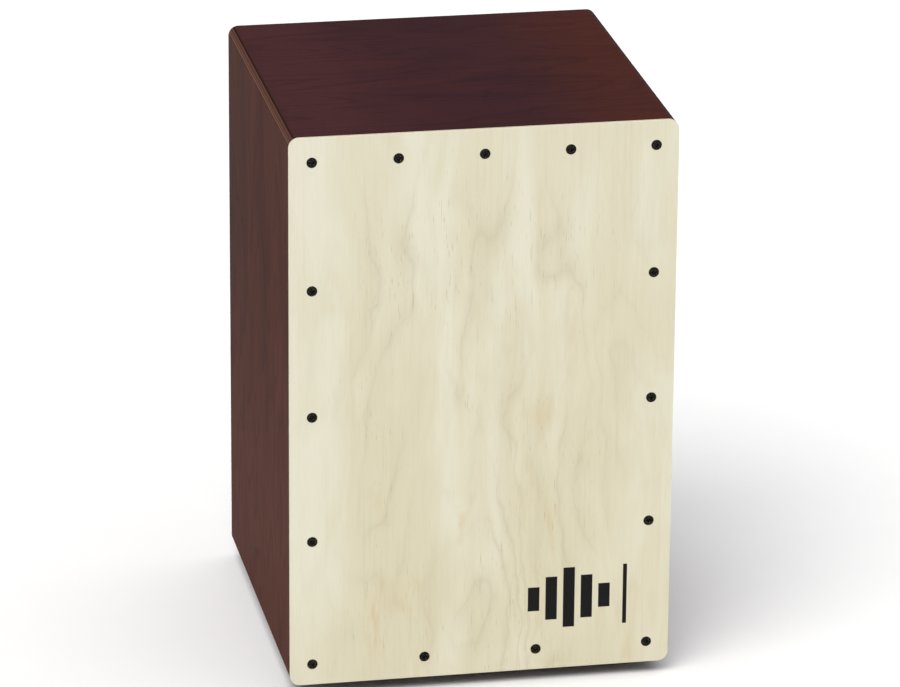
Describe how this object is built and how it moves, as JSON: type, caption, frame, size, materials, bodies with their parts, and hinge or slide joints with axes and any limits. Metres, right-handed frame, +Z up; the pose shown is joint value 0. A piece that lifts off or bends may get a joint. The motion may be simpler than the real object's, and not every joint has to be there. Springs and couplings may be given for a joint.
{
  "type": "cajon",
  "caption": "Box drum that the player sits on: stained plywood shell, screwed-on pale playing plate, sound port in the back, rubber feet and steel strings tightened from below.",
  "frame": {"origin": "on the floor, midway across the width and the depth of the box", "axes": "+Z up; the playing plate faces -Y and the sound port +Y; +X is right as seen from in front of the plate"},
  "size_m": [0.3, 0.3, 0.455],
  "materials": {
    "plate_veneer": "pale birch-like plywood, satin clear coat",
    "stained_shell": "plywood stained dark reddish brown, satin lacquer",
    "back_board": "thin plywood stained dark brown, satin",
    "raw_wood": "planed unfinished softwood",
    "black_screws": "black oxide, slight sheen",
    "zinc_steel": "bright zinc plated",
    "string_wire": "plain drawn steel wire",
    "brass_ferrules": "turned brass",
    "foot_rubber": "matte black moulded rubber",
    "grey_felt": "pressed wool felt"
  },
  "bodies": {
    "box": {"front_plate": "plate_veneer", "left_side_panel": "stained_shell", "right_side_panel": "stained_shell", "top_panel": "stained_shell", "bottom_panel": "stained_shell", "back_panel": "back_board", "front_left_batten": "raw_wood", "front_right_batten": "raw_wood", "front_top_batten": "raw_wood", "front_bottom_batten": "raw_wood", "back_left_batten": "raw_wood", "back_right_batten": "raw_wood", "back_top_batten": "raw_wood", "back_bottom_batten": "raw_wood", "string_crossbar": "raw_wood", "felt_strip": "grey_felt", "plate_screws_top": "black_screws", "plate_screws_bottom": "black_screws", "plate_screws_left": "black_screws", "plate_screws_right": "black_screws", "back_screws": "black_screws", "string_anchor_screws": "zinc_steel", "foot_front_left": "foot_rubber", "foot_front_right": "foot_rubber", "foot_back_left": "foot_rubber", "foot_back_right": "foot_rubber", "foot_washers": "zinc_steel", "foot_screws": "zinc_steel", "left_guide_block": "raw_wood", "right_guide_block": "raw_wood", "left_tension_washer": "zinc_steel", "right_tension_washer": "zinc_steel", "left_outer_string": "string_wire", "left_inner_string": "string_wire", "right_inner_string": "string_wire", "right_outer_string": "string_wire"},
    "left_screw": {"left_tension_screw": "zinc_steel"},
    "right_screw": {"right_tension_screw": "zinc_steel"},
    "left_carriage": {"left_string_carriage": "zinc_steel", "left_string_ferrules": "brass_ferrules"},
    "right_carriage": {"right_string_carriage": "zinc_steel", "right_string_ferrules": "brass_ferrules"}
  },
  "joints": [
    {"name": "left_tension_turn", "type": "hinge", "parent": "box", "child": "left_screw", "pos_m": [-0.052, -0.116, 0.0184], "axis": [0, 0, 1], "range_deg": [-1440, 720]},
    {"name": "left_carriage_travel", "type": "slide", "parent": "box", "child": "left_carriage", "axis": [0, 0, -1], "range_m": [-0.004, 0.002], "deforming": ["left_outer_string", "left_inner_string"]},
    {"name": "right_tension_turn", "type": "hinge", "parent": "box", "child": "right_screw", "pos_m": [0.052, -0.116, 0.0184], "axis": [0, 0, 1], "range_deg": [-1440, 720]},
    {"name": "right_carriage_travel", "type": "slide", "parent": "box", "child": "right_carriage", "axis": [0, 0, -1], "range_m": [-0.004, 0.002], "deforming": ["right_inner_string", "right_outer_string"]}
  ],
  "couplings": [
    {"joint": "left_tension_turn", "follows": "left_carriage_travel", "rad_per_m": 6283.1},
    {"joint": "right_tension_turn", "follows": "right_carriage_travel", "rad_per_m": 6283.1}
  ]
}
